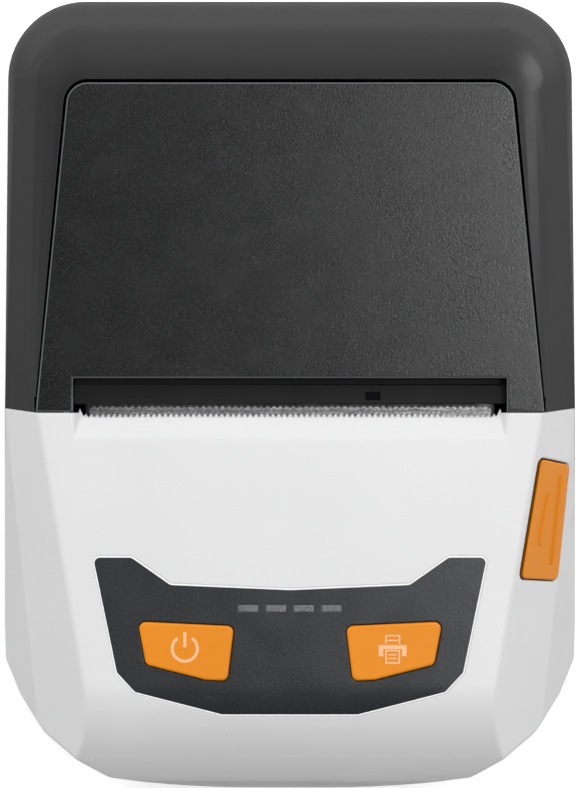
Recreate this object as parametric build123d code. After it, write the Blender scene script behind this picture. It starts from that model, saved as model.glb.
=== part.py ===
from build123d import *
import os
from math import atan2, cos, degrees, hypot, pi, radians, sin, sqrt, tan

# A battery-powered receipt printer for 80 mm paper, lying on its back: +X to the right as one
# looks down on it, +Y towards the lid's hinge, +Z up, z = 0 under the rubber feet. Millimetres.

# Driving sizes
paper_half = 40.0        # half the width of the paper
roll_room = 25.0         # radius of the well's round floor
front_long = 80.0        # from the origin to the front end
platen_y = 5.0
wall = 2.2
run_clear = 0.05         # radial clearance of everything that turns
past = 1.0               # how far a cutter reaches past what it cuts
FAR = 400.0

# Platen and print mechanism, outwards from the paper
platen_half = paper_half + 0.4
head_half = paper_half + 0.8
cheek_in = platen_half + 0.6
cheek_thick = 1.8
cheek_out = cheek_in + cheek_thick
bush_in = cheek_out + 0.3
frame_plate_in = bush_in + 0.8
frame_plate = 1.2
frame_out = frame_plate_in + frame_plate
bush_out = frame_out + 0.4
lever_in = frame_out + 0.3
lever_thick = 1.6
lever_out = lever_in + lever_thick
lifted_bush_out = lever_out + 0.2      # the right-hand bush reaches over the release lever
gear_in = frame_out + 0.9
gear_wide = 2.8
gear_out = gear_in + gear_wide
gear_room = 9.6          # from the gears to the widest line of the case

# Paper well, along the case
well_half = paper_half + 1.4
well_wall = 2.0
well_front_y = platen_y + 10.0
well_length = 2 * roll_room
well_floor_z = 7.2
roll_clear = 0.8

# Outer form
half_width = gear_out + gear_room      # at the waist of the front half
rear_half_width = half_width - 1.0
top_z = well_floor_z + 2 * roll_room + roll_clear
waist_z = top_z - 28.0   # above this the sides lean inwards
split_z = waist_z - 6.0  # joint between the bottom case and the covers
side_draft = 4.6
rear_y = well_front_y + well_length + 15.0
front_y = -front_long
case_base_z = 1.0
parting_y = platen_y - 8.8             # joint between the white cover and the black bezel
rear_corner = 16.0
bottom_round = 3.5
roll_radius = 23.0       # the top rolls down to the front with this radius
flank_y = front_y + 25.5               # the straight side ends here
front_corner_a = (half_width - 3.4, front_y + 18.7)
front_corner_b = (half_width - 9.1, front_y + 11.7)
front_corner_c = (half_width - 22.2, front_y + 3.1)

# Facets on each side of the white cover
lid_front_half = half_width - 8.6
crease_rear = (lid_front_half, parting_y, top_z)
crease_front = (half_width - 17.5, front_y + 23.8, top_z)
bevel_angle = 55.0       # steepness of the bevel below the crease
waist_front = (half_width, front_y + 31.0, waist_z)
lower_crease_rear = (half_width - 1.5, parting_y, top_z - 10.0)
lower_crease_front = (half_width - 6.15, waist_front[1], top_z - 14.0)

# Round-over of the black bezel: drop below the top, and share of the way out to side and rear
bezel_steps = [
    (0.0, 0.0), (0.5, 0.14), (1.4, 0.30), (2.8, 0.46), (4.8, 0.60), (7.4, 0.72),
    (10.0, 0.80), (13.5, 0.88), (17.5, 0.94), (22.0, 0.98), (top_z - waist_z, 1.0),
]

# Lid
lid_rear_y = well_front_y + well_length - 3.7
lid_rear_half = lid_front_half - 6.1
lid_corner = 4.2
lid_front_y = parting_y + 0.4
lid_gap = 0.6
lid_thick = 2.2
lid_under_z = top_z - lid_thick
slot_half = paper_half + 2.7           # half width of the notch in the lid's front edge
slot_rear_y = platen_y - 2.0
hinge_y = lid_rear_y - 8.0
hinge_z = top_z - 3.0
hinge_pin_r = 0.8
hinge_ear_r = 2.2
hinge_ear_out = lid_rear_half + 0.3
hinge_ear_in = hinge_ear_out - 5.4
hinge_pin_in = hinge_ear_in - 0.4
hinge_pin_out = hinge_ear_out + 3.2
ledge_front_y = platen_y - 7.1
ledge_z = top_z - 3.8
holder_rear_y = platen_y + 11.0
sensor_at = (16.4, platen_y - 5.5)

# Platen and print head, in Y and Z
platen_z = top_z - 12.5
platen_r = 5.5
platen_shaft_r = 2.0
platen_bush_r = 3.5
cheek_r = 3.8
frame_front_y = platen_y - 17.0
frame_rear_y = platen_y + 5.5
frame_top_z = top_z - 8.5
frame_web_z = top_z - 18.0             # top of the frame's cross web
frame_base_z = 6.0
nip_gap = 0.1
head_top = 3.6           # above the nip, along the head's face
head_bottom = 9.0        # below the nip
ceramic = 0.8
heatsink = 2.4
head_pivot_r = 1.2
head_spring_r = 2.4
head_spring_x = 0.6 * paper_half

# Gear train: tooth counts and module
module = 0.4
platen_teeth = 26
idler_teeth = 40
pinion_teeth = 14
backlash = 0.14
mesh_gap = 0.06
pinion_turn = 30.0       # the pinion sits this far forward of straight below the idler
motor_r = 10.5
motor_long = 18.0
motor_shaft_r = 1.0
motor_ear_z = frame_base_z + frame_plate + 1.9
idler_axle_r = 1.5

# Upper edges and rear end of the well
well_top_z = top_z - 8.2
well_rear_top_z = hinge_z - 10.0
well_step_y = hinge_y - 4.8

# Tear bar and the serrated lip of the white cover
slot_lip_half = paper_half + 1.3
ramp_half = slot_half
ramp_rear_y = parting_y - 0.1
ramp_front_y = parting_y - 5.4
ramp_drop = 1.7
lip_thick = 1.1
lip_under_z = top_z - ramp_drop - lip_thick
lip_pitch = 1.12
lip_tooth = 0.8
horn_half = 0.7
horn_tip_y = parting_y + 0.8
tear_half = paper_half - 0.3
tear_pitch = 1.27
tear_tooth = 0.5
tear_tip_y = parting_y + 1.4
tear_front_y = parting_y - 5.2
tear_thick = 0.6
tear_fold = 5.0

# Control panel, its keys and its lamp windows; Y counts from the panel's rear middle
panel_y = front_y + 41.4
panel_depth = 1.0
panel_gap = 0.06
panel_points = [
    (0.0, 0.0), (23.5, 1.0), (31.2, 6.4), (38.9, 6.4), (34.2, -16.4), (30.6, -20.3), (13.4, -24.8),
]
panel_round = 1.2
power_points = [(-30.0, -6.3), (-11.0, -7.2), (-12.3, -18.0), (-16.7, -17.8), (-28.4, -14.8)]
key_centre = (20.6, panel_y - 12.0)
key_round = 1.3
key_proud = 0.35
key_gap = 0.22
key_under_z = top_z - 5.4
key_flange = 1.0
key_flange_z = top_z - 3.8
key_stem_r = 1.4
lamp_x = (-8.19, -2.73, 2.73, 8.19)
lamp_y = panel_y - 3.7
lamp_long = 4.0
lamp_wide = 1.4

# Release button on the right-hand bevel: in from the widest line, and from the parting line
release_points = [(9.0, -9.1), (2.5, -10.5), (4.7, -33.7), (12.9, -32.7)]
rib_ends = [((7.4, -16.0), (9.2, -26.2)), ((4.5, -12.4), (6.4, -30.2))]
release_round = 1.4
release_gap = 0.3
release_proud = 0.7
release_sunk = 1.5
release_stem_r = 1.8
release_stem = 4.6
rib_wide = 0.55
rib_high = 0.45
lever_pivot_y = frame_front_y - 3.0
lever_pivot_z = platen_z - 5.5
lever_pivot_r = 1.5
lever_nose_drop = 2.5
lever_pad = 1.8
spring_r = 2.4
spring_wire = 0.6
spring_low_z = top_z - 24.0
scoop_y = (parting_y - 11.7, parting_y - 34.2)
scoop_deep = 1.6
scoop_r = 19.0

# Electronics and power
cell_half = paper_half - 5.0
cell_y = (front_y + 12.0, front_y + 51.0)
cell_z = (5.2, 25.2)
bay_wall = 1.6
bay_clear = 0.6
bay_half = cell_half + bay_clear
board_z = top_z - 13.6
board_thick = 1.6
board_half = cell_half + 1.0
board_y = (front_y + 12.0, parting_y - 15.2)
board_post = [(board_half - 4.0, board_y[1] - 5.0), (board_half - 10.0, board_y[0] + 3.0)]
post_r = 2.6
board_screw_r = 0.9
key_switch = 6.2
door_half = cell_half - 1.0
door_y = (front_y + 1.0, cell_y[1] + 3.0)
door_z = (1.3, 3.3)
door_tongue = 1.4
door_clear = 0.3
floor_thick = 3.2
port_y = frame_front_y - 15.0
port_z = 15.0
port_half = (4.47, 1.58)
port_shell = 0.3
port_board = 1.2

# Fixings
foot_r = 4.5
foot_high = 1.6
foot_at = [(half_width - 12.4, rear_y - 18.0), (half_width - 12.4, front_y + 28.0)]
screw_r = 1.25
screw_head_r = 2.4
boss_r = 3.2
case_screw_at = [(half_width - 9.4, rear_y - 12.0), (half_width - 7.4, front_y + 30.0)]
case_screw_top_z = split_z + 8.0
frame_screw_x = frame_plate_in - 4.5
frame_screw_y = (frame_front_y + 5.0, frame_rear_y - 3.0)
holder_screw_at = [(-0.75 * paper_half, platen_y + 7.5), (0.0, platen_y + 7.5),
                   (0.75 * paper_half, platen_y + 7.5)]
well_post_x = 0.6 * paper_half
well_mid_y = well_front_y + well_length / 2
well_head_z = well_floor_z - 1.0
cut_low_z = top_z - 18.0               # cutters that come from above stop here


def block(x0, x1, y0, y1, z0, z1):
    return Pos((x0 + x1) / 2, (y0 + y1) / 2, (z0 + z1) / 2) * Box(
        abs(x1 - x0), abs(y1 - y0), abs(z1 - z0)
    )


def rod_x(y, z, r, x0, x1):
    return Pos((x0 + x1) / 2, y, z) * Rot(0, 90, 0) * Cylinder(r, abs(x1 - x0))


def post(x, y, r, z0, z1):
    return Pos(x, y, (z0 + z1) / 2) * Cylinder(r, z1 - z0)


def polygon(points, rounding=0.0):
    face = make_face(Polyline(*points, close=True))
    if rounding:
        face = fillet(face.vertices(), rounding)
    return face


def side_plate(points, x0, x1):
    """A flat shape drawn in Y and Z, thickened along X."""
    return extrude(Plane.YZ.offset(x0) * polygon(points), x1 - x0)


def column(face, z0, z1):
    """A flat shape drawn in X and Y, thickened along Z."""
    return extrude(Pos(0, 0, z0) * face, z1 - z0)


def solids_of(shape):
    return Compound(shape.solids()) if len(shape.solids()) > 1 else shape.solids()[0]


def save(name, shape):
    export_step(solids_of(shape), f"parts/{name}.step")


# Outer form

def plan_face(inset=0.0):
    """The whole case seen from above."""
    right = [(half_width, flank_y), front_corner_a, front_corner_b, front_corner_c]
    left = [(-x, y) for x, y in reversed(right)]
    edges = [Line(a, b) for a, b in zip(right, right[1:])]
    edges.append(ThreePointArc(front_corner_c, (0, front_y), left[0]))
    edges += [Line(a, b) for a, b in zip(left, left[1:])]
    rear = [
        left[-1], (-half_width, parting_y), (-rear_half_width, rear_y),
        (rear_half_width, rear_y), (half_width, parting_y), right[0],
    ]
    edges += [Line(a, b) for a, b in zip(rear, rear[1:])]
    face = make_face(edges)
    rear_points = face.vertices().sort_by(Axis.Y)[-2:]
    face = fillet(rear_points, rear_corner)
    return offset(face, -inset, kind=Kind.INTERSECTION) if inset else face


def plane_normal(a, b, c):
    u = Vector(*b) - Vector(*a)
    v = Vector(*c) - Vector(*a)
    n = u.cross(v).normalized()
    return n if n.X > 0 else n * -1


def bevel_normal():
    along = (Vector(*crease_front) - Vector(*crease_rear)).normalized()
    across = Vector(-along.Y, along.X, 0)
    tilt = radians(bevel_angle)
    return Vector(across.X * sin(tilt), across.Y * sin(tilt), cos(tilt))


def side_normal():
    lean = radians(side_draft)
    return Vector(cos(lean), 0, sin(lean))


def cut_beyond(shape, point, normal, inset):
    """Remove what lies outside a plane, set in by a distance."""
    start = Vector(*point) - normal * inset
    half_space = Plane(start, z_dir=normal) * Pos(0, 0, FAR / 2) * Box(FAR, FAR, FAR)
    return shape - half_space


def front_form(inset=0.0, z0=split_z, y1=parting_y):
    """The faceted front half of the covers, or its inside where inset is the wall."""
    top = top_z - inset
    nose_y = front_y + roll_radius
    nose_z = top_z - roll_radius
    r = roll_radius - inset
    k = sqrt(0.5) * r
    edges = [
        Line((y1, z0), (y1, top)),
        Line((y1, top), (nose_y, top)),
        ThreePointArc((nose_y, top), (nose_y - k, nose_z + k), (nose_y - r, nose_z)),
        Line((nose_y - r, nose_z), (nose_y - r, z0)),
        Line((nose_y - r, z0), (y1, z0)),
    ]
    form = extrude(Plane.YZ.offset(-half_width) * make_face(edges), 2 * half_width)
    form = form & column(plan_face(inset), z0 - 1, top_z + 10)
    lower = plane_normal(lower_crease_rear, lower_crease_front, waist_front)
    facets = [
        (crease_rear, bevel_normal()), (lower_crease_rear, lower),
        ((half_width, parting_y, waist_z), side_normal()),
    ]
    for point, normal in facets:
        form = cut_beyond(form, point, normal, inset)
        form = cut_beyond(
            form, (-point[0], point[1], point[2]), Vector(-normal.X, normal.Y, normal.Z), inset
        )
    return form


def half_at_parting(z):
    """Half width of the covers at the parting line, which both covers share."""
    n = bevel_normal()
    bevel = crease_rear[0] + (top_z - z) * n.Z / n.X
    side = half_width - max(z - waist_z, 0.0) * tan(radians(side_draft))
    return min(bevel, side)


def bezel_section(drop, share, inset):
    z = top_z - drop
    front_half = half_at_parting(z) - inset
    rear_half = lid_rear_half + (rear_half_width - lid_rear_half) * share - inset
    back = lid_rear_y + (rear_y - lid_rear_y) * share - inset
    corner = lid_corner + (rear_corner - lid_corner) * share - inset * share
    points = [
        (-front_half, parting_y), (front_half, parting_y), (rear_half, back), (-rear_half, back),
    ]
    face = polygon(points)
    face = fillet(face.vertices().sort_by(Axis.Y)[-2:], corner)
    return Pos(0, 0, z - inset) * face


def rear_form(inset=0.0, z0=split_z):
    sections = [bezel_section(drop, share, inset) for drop, share in bezel_steps]
    upper = loft(sections, ruled=True)
    return upper + extrude(sections[-1], z0 - (waist_z - inset))


def lid_face(grow=0.0):
    points = [
        (-lid_front_half, lid_front_y), (lid_front_half, lid_front_y),
        (lid_rear_half, lid_rear_y), (-lid_rear_half, lid_rear_y),
    ]
    face = polygon(points)
    face = fillet(face.vertices().sort_by(Axis.Y)[-2:], lid_corner)
    return offset(face, grow, kind=Kind.INTERSECTION) if grow else face


def panel_face(grow=0.0):
    right = [(x, panel_y + y) for x, y in panel_points]
    points = right + [(-x, y) for x, y in reversed(right[1:])]
    face = polygon(points)
    corners = [v for v in face.vertices() if abs(v.X) > key_centre[0]]
    face = fillet(corners, panel_round)
    return offset(face, grow, kind=Kind.INTERSECTION) if grow else face


def key_face(side, grow=0.0):
    face = polygon([(x * -side, panel_y + y) for x, y in power_points], key_round)
    return offset(face, grow, kind=Kind.INTERSECTION) if grow else face


def lamp_boxes(shrink, z0, z1):
    boxes = None
    for x in lamp_x:
        box = block(
            x - lamp_long / 2 + shrink, x + lamp_long / 2 - shrink,
            lamp_y - lamp_wide / 2 + shrink, lamp_y + lamp_wide / 2 - shrink, z0, z1,
        )
        boxes = box if boxes is None else boxes + box
    return boxes


def on_bevel(x, y):
    """The point of the right-hand bevel above a place in plan."""
    n = bevel_normal()
    c = crease_rear
    return Vector(x, y, c[2] - (n.X * (x - c[0]) + n.Y * (y - c[1])) / n.Z)


def bevel_slab(points, grow, low, high, rounding):
    """A flat shape on the right-hand bevel, thickened square to it from low to high."""
    n = bevel_normal()
    face = make_face(Polyline(*[on_bevel(x, y) for x, y in points], close=True))
    if rounding:
        face = fillet(face.vertices(), rounding)
    if grow:
        face = offset(face, grow, kind=Kind.INTERSECTION)
    return extrude(Pos(*(n * low)) * face, high - low, dir=n)


def release_place(inward, along):
    """A place in plan, in from the widest line and along from the parting line."""
    return half_width - inward, parting_y + along


release_outline = [release_place(*p) for p in release_points]
release_mid = (
    sum(x for x, y in release_outline) / len(release_outline),
    sum(y for x, y in release_outline) / len(release_outline),
)

# Points and angles of the mechanism that follow from the driving sizes

swing_y = platen_y - hinge_y
swing_z = platen_z - hinge_z
swing = hypot(swing_y, swing_z)
towards_head = (swing_y / swing, swing_z / swing)      # from the hinge through the platen
rising = (swing_z / swing, -swing_y / swing)           # the way the platen leaves


def head_point(up, back):
    """A place in Y and Z: up along the head's face from the nip, back away from the platen."""
    reach = platen_r + nip_gap + back
    return (
        platen_y + towards_head[0] * reach + rising[0] * up,
        platen_z + towards_head[1] * reach + rising[1] * up,
    )


def gear_distance(a, b):
    return (a + b) * module / 2 + mesh_gap


idler_drop = gear_distance(platen_teeth, idler_teeth)
idler_y = platen_y - rising[0] * idler_drop
idler_z = platen_z - rising[1] * idler_drop
pinion_drop = gear_distance(idler_teeth, pinion_teeth)
pinion_y = idler_y - pinion_drop * sin(radians(pinion_turn))
pinion_z = idler_z - pinion_drop * cos(radians(pinion_turn))


def gear_face(teeth, phase_deg, y, z):
    """An involute gear drawn in Y and Z, with one tooth centred at the phase angle."""
    pressure = radians(20)
    pitch = teeth * module / 2
    base = pitch * cos(pressure)
    tip = pitch + 0.8 * module
    root = pitch - 1.1 * module
    half_tooth = (pi * module - backlash) / (4 * pitch) * 2 / 2
    involute_pitch = tan(pressure) - pressure
    flank = []
    start = max(base, root)
    for step in range(5):
        r = start + (tip - start) * step / 4
        roll = sqrt(max((r / base) ** 2 - 1, 0.0))
        angle = half_tooth + involute_pitch - (roll - atan2(roll, 1.0))
        flank.append((r, angle))
    if root < start:
        flank.insert(0, (root, flank[0][1]))
    points = []
    for tooth in range(teeth):
        middle = radians(phase_deg) + 2 * pi * tooth / teeth
        outline = [(r, middle - a) for r, a in flank] + [(r, middle + a) for r, a in reversed(flank)]
        points += [(y + r * cos(a), z + r * sin(a)) for r, a in outline]
    return polygon(points)


def gear(teeth, phase_deg, y, z, bore):
    face = Plane.YZ.offset(-gear_out) * gear_face(teeth, phase_deg, y, z)
    wheel = extrude(face, gear_wide)
    return wheel - rod_x(y, z, bore, -gear_out - 1, -gear_in + 1)


# Case

def bottom_case():
    shell = column(plan_face(), case_base_z, split_z)
    shell = fillet(shell.faces().sort_by(Axis.Z)[0].edges(), bottom_round)
    shell -= column(plan_face(wall), case_base_z + floor_thick, split_z + 1)
    bay_x = bay_half
    bay_y0 = cell_y[0] - bay_clear
    bay_y1 = cell_y[1] + bay_clear
    bay_top = cell_z[1] + bay_clear
    box = block(
        -bay_x - bay_wall, bay_x + bay_wall, bay_y0 - bay_wall, bay_y1 + bay_wall,
        case_base_z + floor_thick - 1, bay_top + bay_wall,
    )
    shell += box
    shell -= block(-bay_x, bay_x, bay_y0, bay_y1, case_base_z - 1, bay_top)
    door = door_shape(door_clear)
    shell -= door
    shell -= block(-door_half - door_clear, door_half + door_clear, front_y - past, door_y[1],
                   case_base_z - past, door_z[1])
    for x, y in case_screw_at:
        for side in (-1, 1):
            shell += post(side * x, y, boss_r, case_base_z + 1, split_z - 2)
            shell -= post(side * x, y, screw_r + 0.15, 0, split_z)
            shell -= post(side * x, y, screw_head_r + 0.3, 0, case_base_z + 2.0)
    for x, y in foot_at:
        for side in (-1, 1):
            shell -= post(side * x, y, foot_r + 0.1, 0, foot_high)
    for y in frame_screw_y:
        for side in (-1, 1):
            x = side * frame_screw_x
            shell += post(x, y, boss_r, case_base_z + 1, frame_base_z)
            shell -= post(x, y, screw_r - 0.2, case_base_z + 2.5, frame_base_z + past)
    for side in (-1, 1):
        x = side * well_post_x
        shell += block(x - boss_r, x + boss_r, well_mid_y - boss_r, well_mid_y + boss_r,
                       case_base_z + 1, well_floor_z - well_wall)
        shell -= post(x, well_mid_y, screw_r - 0.2, case_base_z + 1.2, well_floor_z)
    shell += post(*spring_post, boss_r, case_base_z + 1, spring_low_z)
    for y in (port_y - 6.5, port_y + 6.5):
        shell += block(-half_width + 5, -half_width + 9, y - 2, y + 2,
                       case_base_z + 1, port_board_z)
    hole_y = port_half[0] + port_gap
    hole_z = port_half[1] + port_gap
    hole = block(-half_width - past, -half_width + 5, port_y - hole_y, port_y + hole_y,
                 port_z - hole_z, port_z + hole_z)
    return shell - hole


port_gap = 0.25
port_board_z = port_z - port_half[1] - port_board - 0.05
bevel_n = bevel_normal()
stem_top = on_bevel(*release_mid) - bevel_n * release_sunk
stem_end = stem_top - bevel_n * release_stem
spring_post = (stem_end.X, stem_end.Y)


def door_shape(clear):
    plate = block(-door_half - clear, door_half + clear, front_y - past, door_y[1] + clear,
                  door_z[0] - clear, door_z[1] + clear)
    tongue = block(-door_half - door_tongue - clear, door_half + door_tongue + clear,
                   front_y - past, door_y[1] - 6 + clear,
                   door_z[1] - 1.0 - clear, door_z[1] + clear)
    return plate + tongue


def battery_door():
    door = door_shape(0.0)
    outline = column(plan_face(1.6), 0, split_z)
    door = door & outline
    for i in range(5):
        y = door_y[0] + 9 + 2.4 * i
        door -= block(-9, 9, y - 0.5, y + 0.5, 0, door_z[0] + 0.5)
    return door


def front_cover():
    shell = front_form() - front_form(wall, split_z - 5, parting_y + 5)
    for x, y in case_screw_at:
        if y < parting_y:
            for side in (-1, 1):
                column_top = post(side * x, y, boss_r, split_z - 1.9, top_z)
                shell += column_top & front_form(0.5, split_z - 1.9)
                shell -= post(side * x, y, screw_r - 0.2, split_z - 3, case_screw_top_z + 1)
    for x, y in board_post:
        for side in (-1, 1):
            pillar = post(side * x, y, post_r, board_z + board_thick, top_z)
            shell += pillar & front_form(panel_depth + 0.4, split_z)
            shell -= post(side * x, y, board_screw_r - 0.1, board_z, board_z + board_thick + 6)
    open_y = parting_y + wall
    shell -= ramp_cut(open_y)
    shell -= block(-slot_lip_half, slot_lip_half, lip_root_y, open_y, 0, top_z)
    shell -= block(-tear_half - 0.4, tear_half + 0.4, tear_front_y - 0.1, open_y,
                   lip_under_z - tear_thick, lip_under_z)
    shell += lip_teeth()
    shell -= column(panel_face(panel_gap), cut_low_z, top_z + past) - front_form(panel_depth + 0.02)
    for side in (-1, 1):
        shell -= column(key_face(side, key_gap), cut_low_z, top_z + past)
    shell -= lamp_boxes(0.4, cut_low_z, top_z)
    shell -= bevel_slab(release_outline, release_gap, -FAR / 50, FAR / 50, release_round)
    shell -= finger_scoop()
    return shell.solids().sort_by(SortBy.VOLUME)[-1]


lip_root_y = ramp_rear_y - lip_tooth
lip_count = int(2 * slot_lip_half / lip_pitch)
tear_count = int(2 * tear_half / tear_pitch)


def saw(half, pitch, count, root_y, tip_y, back_y):
    """A comb outline in X and Y with its teeth towards +Y."""
    start = -count * pitch / 2
    points = [(-half, back_y), (-half, root_y)]
    for i in range(count):
        points.append((start + i * pitch, root_y))
        points.append((start + (i + 0.5) * pitch, tip_y))
    points += [(start + count * pitch, root_y), (half, root_y), (half, back_y)]
    clean = [points[0]]
    for p in points[1:]:
        if hypot(p[0] - clean[-1][0], p[1] - clean[-1][1]) > 1e-6:
            clean.append(p)
    return polygon(clean)


def ramp_cut(open_y):
    """The shallow ramp down to the lip, with both its ends leaning inwards."""
    floor_z = top_z - ramp_drop
    points = [
        (ramp_front_y, top_z), (ramp_rear_y, floor_z), (open_y, floor_z),
        (open_y, top_z + past), (ramp_front_y, top_z + past),
    ]
    cut = side_plate(points, -ramp_half, ramp_half)
    for side in (-1, 1):
        lean = [
            (side * ramp_half, top_z), (side * slot_lip_half, floor_z),
            (side * slot_lip_half, floor_z - past), (side * (ramp_half + past), floor_z - past),
            (side * (ramp_half + past), top_z),
        ]
        end = Plane.XZ.offset(-open_y - past) * polygon(lean)
        cut -= extrude(end, open_y - ramp_front_y + 2 * past)
    return cut


def lip_teeth():
    """The serrated edge of the lip, and the taller horn at each of its ends."""
    comb = saw(slot_lip_half, lip_pitch, lip_count, lip_root_y, ramp_rear_y, lip_root_y - 1.0)
    teeth = column(comb, lip_under_z, lip_under_z + lip_thick)
    for side in (-1, 1):
        horn = polygon([
            (side * (slot_lip_half - horn_half), lip_root_y - 0.2),
            (side * (slot_lip_half + horn_half), lip_root_y - 0.2),
            (side * (slot_lip_half + 0.2), horn_tip_y),
        ])
        teeth += column(horn, lip_under_z, lip_under_z + lip_thick)
    return teeth


def tear_bar():
    face = saw(tear_half, tear_pitch, tear_count, tear_tip_y - tear_tooth, tear_tip_y, tear_front_y)
    bar = column(face, lip_under_z - tear_thick + 0.02, lip_under_z - 0.02)
    fold = block(-tear_half, tear_half, tear_front_y, tear_front_y + tear_thick,
                 lip_under_z - tear_fold, lip_under_z - 0.02)
    return bar + fold


def finger_scoop():
    """The hollow in the side wall below the release button."""
    mid = (scoop_y[0] + scoop_y[1]) / 2
    bowl = Pos(half_width + scoop_r - scoop_deep, mid, top_z - 16.0) * Sphere(scoop_r)
    return bowl & block(lid_front_half, half_width + past, *scoop_y, waist_z, top_z - 3.0)


def rear_bezel():
    shell = rear_form() - rear_form(wall, split_z - 5)
    low_z = split_z - 5
    reach = block(-half_width, half_width, parting_y - past, parting_y + wall + past,
                  low_z, cut_low_z)
    shell -= reach & column(plan_face(wall), low_z, cut_low_z + past)
    inner_half = half_at_parting(hinge_z - wall + 0.2) - wall - 1
    shell -= block(-inner_half, inner_half, parting_y - past, parting_y + wall + past,
                   low_z, top_z - wall)
    well_mouth = column(lid_face(lid_gap), split_z, top_z + 5)
    extra = block(-lid_front_half - lid_gap, lid_front_half + lid_gap,
                  parting_y - past, parting_y + 3, cut_low_z, top_z + 5)
    for side in (-1, 1):
        ear = block(side * (hinge_ear_out - 0.8), side * (hinge_ear_out + 7.8),
                    hinge_y - 3.0, hinge_y + 3.0, hinge_z - 3.4, top_z)
        shell += ear & rear_form(0.4)
    shell -= well_mouth
    shell -= extra
    for side in (-1, 1):
        shell -= rod_x(hinge_y, hinge_z, hinge_pin_r, side * hinge_ear_in,
                       side * (hinge_pin_out + 0.1))
    for x, y in case_screw_at:
        if y > parting_y:
            for side in (-1, 1):
                column_top = post(side * x, y, boss_r, split_z - 1.9, top_z)
                shell += column_top & rear_form(0.8, split_z - 1.9)
                shell -= post(side * x, y, screw_r - 0.2, split_z - 3, case_screw_top_z + 1)
    return shell.solids().sort_by(SortBy.VOLUME)[-1]


# Lid and what it carries

def lid_cover():
    plate = column(lid_face(), top_z - lid_thick, top_z)
    plate = fillet(plate.faces().sort_by(Axis.Z)[-1].edges(), 0.5)
    plate -= block(-slot_half, slot_half, lid_front_y - 5, slot_rear_y, 0, top_z + 5)
    rim = lid_rib_inset
    for side in (-1, 1):
        x = side * (well_half - rim)
        plate += block(x - 0.7, x + 0.7, well_front_y + 3.0, hinge_y, top_z - 6.0, lid_under_z)
        a = side * hinge_ear_in
        b = side * hinge_ear_out
        ear = rod_x(hinge_y, hinge_z, hinge_ear_r, a, b)
        ear += block(a, b, hinge_y - hinge_ear_r, hinge_y + hinge_ear_r, hinge_z, lid_under_z)
        plate += ear
        plate -= rod_x(hinge_y, hinge_z, hinge_pin_r + run_clear,
                       side * hinge_pin_in, side * (hinge_ear_out + past))
    for share in (0.22, 0.42, 0.62):
        y = well_front_y + share * well_length
        plate += block(-well_half + rim, well_half - rim, y - 0.6, y + 0.6,
                       top_z - 3.4, lid_under_z)
    for x, y in holder_screw_at:
        plate -= post(x, y, screw_r - 0.35, lid_under_z - past, top_z - 0.7)
    return plate


lid_rib_inset = 3.6


def platen_holder():
    under = lid_under_z
    ledge_rear_y = slot_rear_y - 1.2
    profile = [
        (ledge_front_y, ledge_z), (ledge_rear_y, ledge_z - 0.6), (ledge_rear_y, ledge_z - 2.0),
        (slot_rear_y, ledge_z - 2.0), (slot_rear_y + 0.4, under), (holder_rear_y, under),
        (holder_rear_y, under - 4.0), (ledge_rear_y - 1.0, under - 4.0),
        (ledge_front_y, ledge_z - 3.6),
    ]
    holder = side_plate(profile, -cheek_out, cheek_out)
    for side in (-1, 1):
        a = side * cheek_in
        b = side * cheek_out
        cheek = rod_x(platen_y, platen_z, cheek_r, a, b)
        cheek += block(a, b, platen_y - cheek_r, platen_y + cheek_r, platen_z, under - 3.9)
        holder += cheek
    holder -= rod_x(platen_y, platen_z, platen_shaft_r + run_clear, -half_width, half_width)
    for x, y in holder_screw_at:
        holder -= post(x, y, screw_r + 0.1, cut_low_z, top_z)
    x, y = sensor_at
    holder -= block(x - sensor_half[0] - 0.05, x + sensor_half[0] + 0.05,
                    y - sensor_half[1] - 0.05, y + sensor_half[1] + 0.05,
                    ledge_z - sensor_sunk, top_z)
    front = block(-cheek_out - past, cheek_out + past, ledge_front_y - past, slot_rear_y,
                  0, platen_z - 0.3)
    return holder - front


sensor_half = (1.35, 0.65)
sensor_sunk = 1.6


def paper_sensor():
    x, y = sensor_at
    return block(x - sensor_half[0], x + sensor_half[0], y - sensor_half[1], y + sensor_half[1],
                 ledge_z - sensor_sunk, ledge_z - 0.55)


def holder_screws():
    screws = None
    for x, y in holder_screw_at:
        screw = post(x, y, screw_r - 0.35, lid_under_z - 4.0, top_z - 1.2)
        screw += post(x, y, screw_head_r - 0.4, lid_under_z - 5.2, lid_under_z - 4.0)
        screws = screw if screws is None else screws + screw
    return screws


def platen_shaft():
    return rod_x(platen_y, platen_z, platen_shaft_r, -gear_out - 0.6, lifted_bush_out + 0.6)


def platen_roller():
    rubber = rod_x(platen_y, platen_z, platen_r, -platen_half, platen_half)
    return rubber - rod_x(platen_y, platen_z, platen_shaft_r, -platen_half - 1, platen_half + 1)


def platen_bushes():
    pair = None
    for side in (-1, 1):
        a = side * bush_in
        out = lifted_bush_out if side > 0 else bush_out
        bush = rod_x(platen_y, platen_z, platen_bush_r, a, side * out)
        bush -= rod_x(platen_y, platen_z, platen_shaft_r + run_clear,
                      side * (bush_in - past), side * (out + past))
        pair = bush if pair is None else pair + bush
    return pair


def hinge_pins():
    pair = rod_x(hinge_y, hinge_z, hinge_pin_r, -hinge_pin_out, -hinge_pin_in)
    return pair + rod_x(hinge_y, hinge_z, hinge_pin_r, hinge_pin_in, hinge_pin_out)


# Print mechanism

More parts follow.
